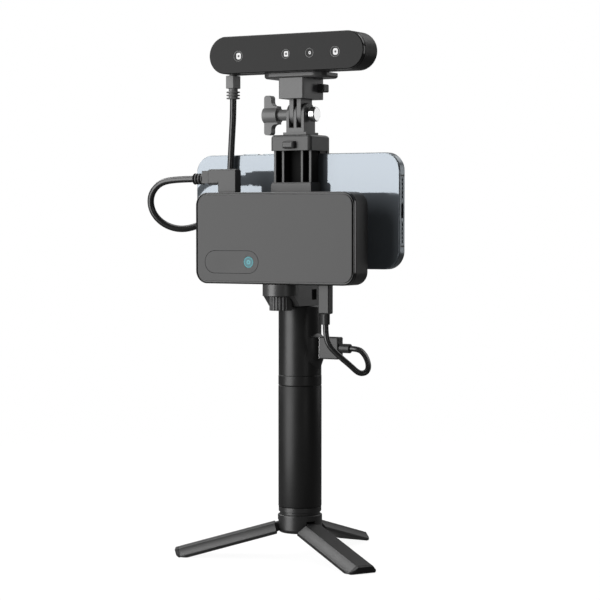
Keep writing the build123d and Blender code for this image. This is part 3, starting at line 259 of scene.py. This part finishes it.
def ringed_light(name, centre, rings, dim, bright, strength):
    """Lit disc with bright rings around its centre, a width of rings apart."""
    material, tree, shader, place = start_material(name)
    apart = tree.nodes.new("ShaderNodeVectorMath")
    apart.operation = "DISTANCE"
    apart.inputs[1].default_value = centre
    wire(tree, place, "Object", apart, 0)
    wave = tree.nodes.new("ShaderNodeMath")
    wave.operation = "PINGPONG"
    wave.inputs[1].default_value = rings / 2
    wire(tree, apart, "Value", wave, 0)
    edge = tree.nodes.new("ShaderNodeMapRange")
    edge.inputs["From Min"].default_value = rings * ring_start_share
    edge.inputs["From Max"].default_value = rings * ring_full_share
    wire(tree, wave, "Value", edge, "Value")
    tone = two_tone(tree, edge, "Result", dim, bright)
    wire(tree, tone, "Result", shader, "Base Color")
    wire(tree, tone, "Result", shader, "Emission Color")
    shader.inputs["Emission Strength"].default_value = strength
    shader.inputs["Roughness"].default_value = ring_roughness
    return material


def grey(level):
    """Neutral colour of one brightness."""
    return (level, level, level)


column_recess = -8.7 * mm
face_skin = 0.15 * mm
finishes = {
    "rubber_black": moulded("rubber", grey(0.009), 0.45, grain=1800, bump=0.12),
    "stand_plastic": moulded("stand plastic", grey(0.022), 0.36, Specular_IOR_Level=0.7),
    "handle_plastic": moulded("handle plastic", grey(0.013), 0.36, Specular_IOR_Level=0.6),
    "clamp_plastic": moulded("clamp plastic", grey(0.075), 0.40),
    "head_plastic": moulded("head plastic", grey(0.014), 0.5, grain=3400, bump=0.05),
    "bridge_plastic": moulded("bridge plastic", grey(0.05), 0.45, grain=3400, bump=0.05),
    "light_teal": plain("teal cap", (0.02, 0.30, 0.36), 0.3),
    "lens_glass": plain("lens glass", grey(0.010), 0.08, Specular_IOR_Level=0.15),
    "camera_black": moulded("camera black", grey(0.012), 0.5),
    "steel": moulded("steel", grey(0.45), 0.34, Metallic=1.0),
    "chrome_bolt": plain("chrome", grey(0.66), 0.16, Metallic=0.95),
    "board_green": moulded("board", (0.012, 0.11, 0.05), 0.4),
    "cell_wrap": moulded("cell wrap", (0.05, 0.14, 0.35), 0.35),
    "plug_plastic": moulded("plug plastic", grey(0.07), 0.42),
    "cord_rubber": moulded("cord rubber", grey(0.014), 0.28, bump=0.02, Specular_IOR_Level=0.8),
    "phone_metal": moulded("phone metal", (0.24, 0.265, 0.285), 0.3, Metallic=0.9),
    "phone_back": plain("phone back", (0.235, 0.262, 0.290), 0.06, Metallic=0.5),
    "phone_display": plain("phone display", grey(0.006), 0.08),
}
light_ring = 2.2 * mm
teal_light = ringed_light(
    "teal light", middle(islands("status_light")[0]), light_ring,
    (0.006, 0.13, 0.16), (0.05, 0.34, 0.38), 0.12,
)
dark_plug = moulded("dark plug plastic", grey(0.035), 0.38)
pale_plastic = moulded("pale plastic", grey(0.18), 0.4)
bracket_plastic = moulded("bracket plastic", grey(0.055), 0.34, Specular_IOR_Level=0.8)
tilt_plastic = moulded("tilt plastic", grey(0.10), 0.36, Specular_IOR_Level=0.6)
pin_steel = moulded("dark pin", grey(0.03), 0.4, Metallic=0.6)
# The column's front ribs keep the plastic's tone. Every surface deeper than column_recess is
# painted near-black as painted shade of the recesses between the ribs, and made rougher so its
# sheen is dulled.
column_painted_recess_shade = split_along(
    "column plastic painted recess shade", "Y", column_recess, grey(0.11), grey(0.004), (0.45, 0.95)
)
# The cover's front face keeps its tone. Its edges, sides and seam groove behind that face are
# painted near-black as painted shade, and made glossier so that the edge light draws a bright line
# on them.
cover_painted_side_shade = split_along(
    "cover plastic painted side shade", "Y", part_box("bridge_front_cover")[0][1] + face_skin,
    grey(0.05), grey(0.008), (0.45, 0.16),
)
# The head panel's surfaces behind its front face are painted slightly darker as painted shade, and
# made glossier for the edge light's line.
panel_painted_side_shade = split_along(
    "panel plastic painted side shade", "Y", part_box("head_front_panel")[0][1] + face_skin,
    grey(0.014), grey(0.012), (0.5, 0.16), Specular_IOR_Level=0.25,
)
node_finish = {
    "top_bracket": bracket_plastic,
    "bridge_thumb_screw": bracket_plastic,
    "leg_pins": pin_steel,
    "jaw_column": column_painted_recess_shade,
    "bridge_front_cover": cover_painted_side_shade,
    "head_front_panel": panel_painted_side_shade,
    "status_light": teal_light,
    "power_plug": dark_plug,
    "head_plug": pale_plastic,
    "tilt_base": tilt_plastic,
    "tilt_block": tilt_plastic,
    "thumb_knob": pale_plastic,
    "qr_plate": tilt_plastic,
    "usb_a_plug": dark_plug,
}


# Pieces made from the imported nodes
def place_piece(name, mesh, body, material):
    """A finished mesh as a piece that rides on a body."""
    piece = bpy.data.objects.new(name, mesh)
    scene.collection.objects.link(piece)
    mesh.materials.clear()
    mesh.materials.append(material)
    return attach(piece, body)


edge_angle = math.radians(32)
edge_segments = 2


def clean_copy(node):
    """A node's mesh with its seams welded."""
    shape = bmesh.new()
    shape.from_mesh(frame["nodes"][node].data)
    bmesh.ops.remove_doubles(shape, verts=shape.verts, dist=weld)
    mesh = bpy.data.meshes.new(node)
    shape.to_mesh(mesh)
    shape.free()
    return mesh


def settle(piece):
    """The piece's mesh with its modifiers made permanent."""
    graph = bpy.context.evaluated_depsgraph_get()
    mesh = bpy.data.meshes.new_from_object(piece.evaluated_get(graph))
    bpy.data.objects.remove(piece)
    return mesh


def soften_mesh(mesh, width):
    """The mesh with its sharp edges rounded."""
    for polygon in mesh.polygons:
        polygon.use_smooth = True
    draft = bpy.data.objects.new("draft", mesh)
    scene.collection.objects.link(draft)
    edges = draft.modifiers.new("edges", "BEVEL")
    edges.width = width
    edges.segments = edge_segments
    edges.limit_method = "ANGLE"
    edges.angle_limit = edge_angle
    edges.use_clamp_overlap = False
    edges.face_strength_mode = "FSTR_AFFECTED"
    shading = draft.modifiers.new("shading", "WEIGHTED_NORMAL")
    shading.use_face_influence = True
    return settle(draft)


def finish_of(node):
    """The finish that a node shows: its own, or its slot's."""
    return node_finish.get(node, finishes[slot_of[node]])


def soften(node, width):
    """A copy of a node with rounded edges, which stands for it."""
    mesh = soften_mesh(clean_copy(node), width)
    piece = place_piece(f"{node}_shape", mesh, body_of[node], finish_of(node))
    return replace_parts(piece, node)


# Width of each softened node's edge rounds, in millimetres
edge_widths = {
    "tripod_base": 0.35, "leg_front_left": 0.3, "leg_front_right": 0.3, "leg_rear": 0.3,
    "foot_front_left": 0.3, "foot_front_right": 0.3, "foot_rear": 0.3,
    "handle_end_ring": 0.2, "handle_collar": 0.15, "handle_housing": 0.08,
    "power_button": 0.2, "top_bracket": 0.15, "bridge_thumb_screw": 0.25,
    "bridge_rear_shell": 0.15, "bridge_front_cover": 0.12, "badge_plate": 0.1, "status_light": 0.1,
    "clamp_lower_body": 0.2, "jaw_column": 0.15, "upper_jaw": 0.1, "jaw_tab": 0.15,
    "lower_pad": 0.1, "upper_pad": 0.1, "tilt_base": 0.12, "clamp_bolt": 0.06,
    "thumb_knob": 0.12, "tilt_block": 0.12, "release_tab": 0.35, "qr_plate": 0.25,
    "head_rear_shell": 0.15, "head_front_panel": 0.12, "head_plug": 0.25,
    "angled_plug": 0.3, "power_plug": 0.3, "usb_a_plug": 0.3,
    "phone_frame": 0.3, "phone_back_glass": 0.2, "phone_screen_glass": 0.2,
    "phone_volume_up_key": 0.2, "phone_volume_down_key": 0.2, "phone_side_key": 0.2,
}
shapes = {node: soften(node, width * mm) for node, width in edge_widths.items()}

for node, shape in frame["nodes"].items():
    if not shape.hide_render:
        shape.data.materials.clear()
        shape.data.materials.append(finish_of(node))

# Details that the solids leave plain
skin = 0.03 * mm
corner_steps = 6


def outline(width, height, corner):
    """Points round a rounded rectangle."""
    points = []
    for k, (side, rise) in enumerate(((1, 1), (-1, 1), (-1, -1), (1, -1))):
        for i in range(corner_steps + 1):
            turn = (k + i / corner_steps) * math.pi / 2
            points.append((
                side * (width / 2 - corner) + corner * math.cos(turn),
                rise * (height / 2 - corner) + corner * math.sin(turn),
            ))
    return points


def circle(radius):
    """Points round a circle."""
    return outline(2 * radius, 2 * radius, radius)


def add_plate(shape, centre, outer, thickness=skin, inner=None, way=-1):
    """A thin upright plate or ring at a centre; way is the side of y that it faces."""
    back = []
    front = []
    for loop in filter(None, (outer, inner)):
        turned = loop if way < 0 else loop[::-1]
        for rank, y in ((back, 0), (front, way * thickness)):
            rank.append([
                shape.verts.new((centre.x + x, centre.y + y, centre.z + z)) for x, z in turned
            ])
    count = len(outer)
    for k in range(count):
        after = (k + 1) % count
        shape.faces.new((back[0][k], back[0][after], front[0][after], front[0][k]))
        if inner:
            shape.faces.new((front[0][k], front[0][after], front[1][after], front[1][k]))
            shape.faces.new((front[1][k], front[1][after], back[1][after], back[1][k]))
    if not inner:
        shape.faces.new(front[0])


def finish_detail(name, shape, body, material):
    """Turns a drafted detail into a piece."""
    bmesh.ops.recalc_face_normals(shape, faces=shape.faces)
    mesh = bpy.data.meshes.new(name)
    shape.to_mesh(mesh)
    shape.free()
    return place_piece(name, mesh, body, material)


def lathe(name, profile, segments, body, material):
    """A closed turned shape around the upright axis, from points of radius and height."""
    shape = bmesh.new()
    rings = []
    for radius, z in profile:
        turns = [2 * math.pi * k / segments for k in range(segments)]
        rings.append([
            shape.verts.new((radius * math.cos(t), radius * math.sin(t), z)) for t in turns
        ])
    for low, high in zip(rings, rings[1:] + rings[:1]):
        for k in range(segments):
            after = (k + 1) % segments
            face = shape.faces.new((low[k], low[after], high[after], high[k]))
            face.smooth = True
    return finish_detail(name, shape, body, material)


grip_low, grip_high = islands("grip_sleeve")[0]
grip_wall = 1.45 * mm
grip_round = 0.5 * mm
grip_round_share = 0.3
grip_segments = 96
grip_cut = grip_round_share * grip_round
grip_bore = grip_high.x - grip_wall
grip_profile = [
    (grip_bore, grip_low.z),
    (grip_high.x - grip_round, grip_low.z),
    (grip_high.x - grip_cut, grip_low.z + grip_cut),
    (grip_high.x, grip_low.z + grip_round),
    (grip_high.x, grip_high.z - grip_round),
    (grip_high.x - grip_cut, grip_high.z - grip_cut),
    (grip_high.x - grip_round, grip_high.z),
    (grip_bore, grip_high.z),
]
grip = lathe(
    "grip_turned", grip_profile, grip_segments, "handle", finishes["rubber_black"]
)
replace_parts(grip, "grip_sleeve")

# Lenses: a thin pale ring, which is a painted highlight on each window's edge; a bright, faintly
# glowing chip behind the glass, which is a painted glint of the module behind it; and its dark
# pupil
# Pale ring colour: painted highlight on the window's edge.
ring_highlight_paint = plain("lens ring painted highlight", grey(0.16), 0.4)
# Bright chip with a faint glow: painted glint of the camera module behind the glass.
chip_glint_paint = plain(
    "lens chip painted glint", grey(0.8), 0.4, Emission_Color=(1, 1, 1, 1), Emission_Strength=0.15
)
# Dark paint for the lens pupils, and for the painted shade of the screws' cross recesses.
pupil_and_cross_shade_paint = plain("lens pupil and cross shade", grey(0.02), 0.2)
ring_width = 0.3 * mm
chip_shift = Vector((0.35 * mm, 0, 0))
# Width, height, corner and pupil radius of each chip, from left to right
chip_sizes = [
    (3.3 * mm, 4.0 * mm, 1.2 * mm, 0.75 * mm),
    (2.9 * mm, 3.3 * mm, 0.6 * mm, 0.80 * mm),
    (1.6 * mm, 1.9 * mm, 0.7 * mm, 0.40 * mm),
    (3.3 * mm, 4.0 * mm, 1.2 * mm, 0.75 * mm),
]
rings, chip_glints, pupils = bmesh.new(), bmesh.new(), bmesh.new()
for box, (width, height, corner, pupil) in zip(islands("lens_windows"), chip_sizes):
    face = middle(box)
    face.y = box[0].y
    radius = (box[1].x - box[0].x) / 2
    add_plate(rings, face, circle(radius), inner=circle(radius - ring_width))
    add_plate(chip_glints, face + chip_shift, outline(width, height, corner))
    add_plate(pupils, face + chip_shift, circle(pupil), thickness=2 * skin)
finish_detail("lens_rings_painted_highlight", rings, "head", ring_highlight_paint)
finish_detail("lens_chips_painted_glint", chip_glints, "head", chip_glint_paint)
finish_detail("lens_pupils", pupils, "head", pupil_and_cross_shade_paint)

# Phone: rear camera glasses, display area, and antenna lines across its ends
lens_share = 0.8
phone_box = islands("phone_frame")[0]
display_low, display_high = islands("phone_screen_glass")[0]
display_border = 3.0 * mm
display_corner = 8.0 * mm
line_width = 1.0 * mm
line_reach = 21.6 * mm
line_inset = 0.7 * mm
glass_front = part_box("phone_back_glass")[0][1]
glasses = bmesh.new()
for box in islands("phone_back_glass", glass_front + weld):
    face = middle(box)
    add_plate(glasses, face, circle(lens_share * (box[1].x - box[0].x) / 2))
finish_detail("phone_camera_glass", glasses, "phone", finishes["phone_display"])
display = bmesh.new()
face = middle((display_low, display_high))
face.y = display_high.y
display_size = display_high - display_low
border = outline(
    display_size.x - 2 * display_border, display_size.z - 2 * display_border, display_corner
)
add_plate(display, face, border, way=1)
display_paint = plain("display area", (0.014, 0.018, 0.024), 0.12)
finish_detail("phone_display_area", display, "phone", display_paint)
lines = bmesh.new()
phone_mid = middle(phone_box)
for x in (phone_box[0].x, phone_box[1].x):
    for z in (phone_mid.z - line_reach, phone_mid.z + line_reach):
        half = Vector((skin, (phone_box[1].y - phone_box[0].y) / 2 - line_inset, line_width / 2))
        corners = bmesh.ops.create_cube(lines, size=1)["verts"]
        for vert in corners:
            vert.co = Vector((x, phone_mid.y, z)) + vert.co * 2 * half
line_paint = plain("antenna", grey(0.05), 0.4)
finish_detail("phone_antenna_lines", lines, "phone", line_paint)

# Cross recesses in the bridge's screws, drawn as dark flat plates: painted shade of the recesses
cross_length = 2.6 * mm
cross_width = 0.55 * mm
cross_corner = cross_width / 4
cross_shades = bmesh.new()
for box in islands("bridge_screws"):
    face = middle(box)
    face.y = box[1].y
    for size in ((cross_length, cross_width), (cross_width, cross_length)):
        add_plate(cross_shades, face, outline(*size, cross_corner), way=1)
finish_detail("screw_crosses_painted_shade", cross_shades, "handle", pupil_and_cross_shade_paint)

# Cords, along the same routes as their solids
cord_steps = 10
cord_round_steps = 6
scan_cord_diameter = 4.2 * mm
power_cord_diameter = 3.5 * mm
scan_joint = (-50.0, -2.3, 236.0)
scan_upper_route = [
    (-46.8, -3.5, 287.15),
    (-46.8, -3.5, 278.0),
    (-48.3, -2.8, 262.0),
    (-49.5, -2.3, 246.0),
    scan_joint,
]
scan_lower_route = [
    scan_joint,
    (-50.5, -2.3, 226.0),
    (-57.0, -5.9, 215.0),
    (-67.0, -10.6, 207.4),
    (-78.5, -15.3, 204.2),
    (-89.0, -19.9, 207.6),
    (-95.6, -23.3, 215.6),
    (-95.9, -25.2, 225.6),
    (-89.5, -25.6, 233.6),
    (-79.0, -25.0, 236.375),
    (-61.65, -25.0, 236.375),
]
power_route = [
    (35.95, 0.0, 131.3),
    (41.5, 0.0, 131.3),
    (47.6, -4.0, 128.9),
    (52.5, -8.0, 124.4),
    (54.7, -11.4, 120.2),
    (53.8, -14.1, 117.7),
    (50.5, -16.5, 117.7),
    (46.8, -19.4, 122.2),
    (39.8, -22.2, 128.4),
    (34.0, -24.4, 134.6),
    (32.4, -25.0, 141.4),
    (32.4, -25.0, 147.15),
]


def cord_curve(name, route, diameter):
    """A smooth curve with the route's points as its control points."""
    data = bpy.data.curves.new(name, "CURVE")
    data.dimensions = "3D"
    data.resolution_u = cord_steps
    data.bevel_depth = diameter / 2
    data.bevel_resolution = cord_round_steps
    data.use_fill_caps = True
    spline = data.splines.new("NURBS")
    spline.points.add(len(route) - 1)
    for point, place in zip(spline.points, route):
        point.co = (*(mm * v for v in place), 1)
    spline.order_u = 3
    spline.use_endpoint_u = True
    curve = bpy.data.objects.new(name, data)
    scene.collection.objects.link(curve)
    return curve


def curve_path(curve):
    """Points along a curve's own line, and their length."""
    depth = curve.data.bevel_depth
    curve.data.bevel_depth = 0
    graph = bpy.context.evaluated_depsgraph_get()
    line = bpy.data.meshes.new_from_object(curve.evaluated_get(graph))
    curve.data.bevel_depth = depth
    path = [vertex.co.copy() for vertex in line.vertices]
    bpy.data.meshes.remove(line)
    return path, sum((b - a).length for a, b in zip(path, path[1:]))


def cord_mesh(name, route, diameter):
    """A cord as a mesh tube, with the path that it follows and its length."""
    curve = cord_curve(f"{name}_line", route, diameter)
    path, length = curve_path(curve)
    mesh = settle(curve)
    for polygon in mesh.polygons:
        polygon.use_smooth = True
    mesh.materials.clear()
    mesh.materials.append(finishes["cord_rubber"])
    tube = bpy.data.objects.new(name, mesh)
    scene.collection.objects.link(tube)
    return tube, path, length


upper, path, length = cord_mesh("scan_cord_upper_tube", scan_upper_route, scan_cord_diameter)
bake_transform(upper)
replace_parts(upper, "scan_cord_upper")
lower, path, length = cord_mesh("scan_cord_lower_tube", scan_lower_route, scan_cord_diameter)
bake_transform(lower)
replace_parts(lower, "scan_cord_lower")
power = cord_curve("power_cord_tube", power_route, power_cord_diameter)
path, length = curve_path(power)
power.data.materials.append(finishes["cord_rubber"])
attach(power, "handle")
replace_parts(power, "power_cord")

# Floor, white surroundings and soft lights. The floor covers little, so that legs
# folded down below it still show, and fades out towards its edges.
floor_half = 0.7
floor_fade_start = 0.12
floor_tone = 0.5
floor_roughness = 0.9
floor_glow = 0.75
floor_cover = 0.2
floor_mesh = bpy.data.meshes.new("floor")
floor_mesh.from_pydata(
    [(x * floor_half, y * floor_half, 0) for x, y in ((-1, -1), (1, -1), (1, 1), (-1, 1))],
    [],
    [(0, 1, 2, 3)],
)
floor_paint, tree, shader, place = start_material("floor paint")
shader.inputs["Base Color"].default_value = (*grey(floor_tone), 1)
shader.inputs["Roughness"].default_value = floor_roughness
shader.inputs["Emission Color"].default_value = (1, 1, 1, 1)
seen = tree.nodes.new("ShaderNodeLightPath")
glow = tree.nodes.new("ShaderNodeMapRange")
glow.inputs["To Max"].default_value = floor_glow
wire(tree, seen, "Is Camera Ray", glow, "Value")
wire(tree, glow, "Result", shader, "Emission Strength")
distance = tree.nodes.new("ShaderNodeVectorMath")
distance.operation = "LENGTH"
wire(tree, place, "Object", distance, "Vector")
fade = tree.nodes.new("ShaderNodeMapRange")
fade.inputs["From Min"].default_value = floor_fade_start
fade.inputs["From Max"].default_value = floor_half
fade.inputs["To Min"].default_value = floor_cover
fade.inputs["To Max"].default_value = 0
wire(tree, distance, "Value", fade, "Value")
wire(tree, fade, "Result", shader, "Alpha")
floor_mesh.materials.append(floor_paint)
floor = bpy.data.objects.new("floor", floor_mesh)
scene.collection.objects.link(floor)

fill_level = 0.07
white_level = 1.0
world = bpy.data.worlds.new("studio")
world.use_nodes = True
tree = world.node_tree
rays = tree.nodes.new("ShaderNodeLightPath")
level = tree.nodes.new("ShaderNodeMapRange")
level.inputs["To Min"].default_value = fill_level
level.inputs["To Max"].default_value = white_level
wire(tree, rays, "Is Camera Ray", level, "Value")
sky = tree.nodes["Background"]
sky.inputs["Color"].default_value = (1, 1, 1, 1)
wire(tree, level, "Result", sky, "Strength")
scene.world = world

aim = (cad_box[0] + cad_box[1]) / 2


def softbox(name, azimuth, elevation, distance, size, power):
    """A soft area light on a circle round the object, turned towards its middle."""
    turn, lift = math.radians(azimuth), math.radians(elevation)
    away = Vector((
        math.sin(turn) * math.cos(lift),
        -math.cos(turn) * math.cos(lift),
        math.sin(lift),
    ))
    data = bpy.data.lights.new(name, "AREA")
    data.shape = "RECTANGLE"
    data.size, data.size_y = size
    data.energy = power
    lamp = bpy.data.objects.new(name, data)
    lamp.location = aim + away * distance
    lamp.rotation_euler = away.to_track_quat("Z", "Y").to_euler()
    lamp.visible_camera = False
    scene.collection.objects.link(lamp)


# Azimuth and elevation in degrees, distance, size and watts
near, far = 1.3, 1.4
softboxes = {
    "key": (-30, 8, near, (0.95, 1.5), 17),
    "edge": (60, 6, near, (0.10, 0.36), 0.45),
    "card": (149, 9, near, (0.28, 0.5), 0.6),
    "back": (208, 3, near, (1.3, 0.6), 0.6),
    "hair": (250, 32, near, (0.6, 0.7), 5),
    "crown": (-75, 55, near, (0.6, 0.8), 5),
    "top": (205, 78, far, (0.8, 0.8), 5),
    "rear": (165, 45, far, (1.0, 1.0), 4),
}
for name, facts in softboxes.items():
    softbox(name, *facts)
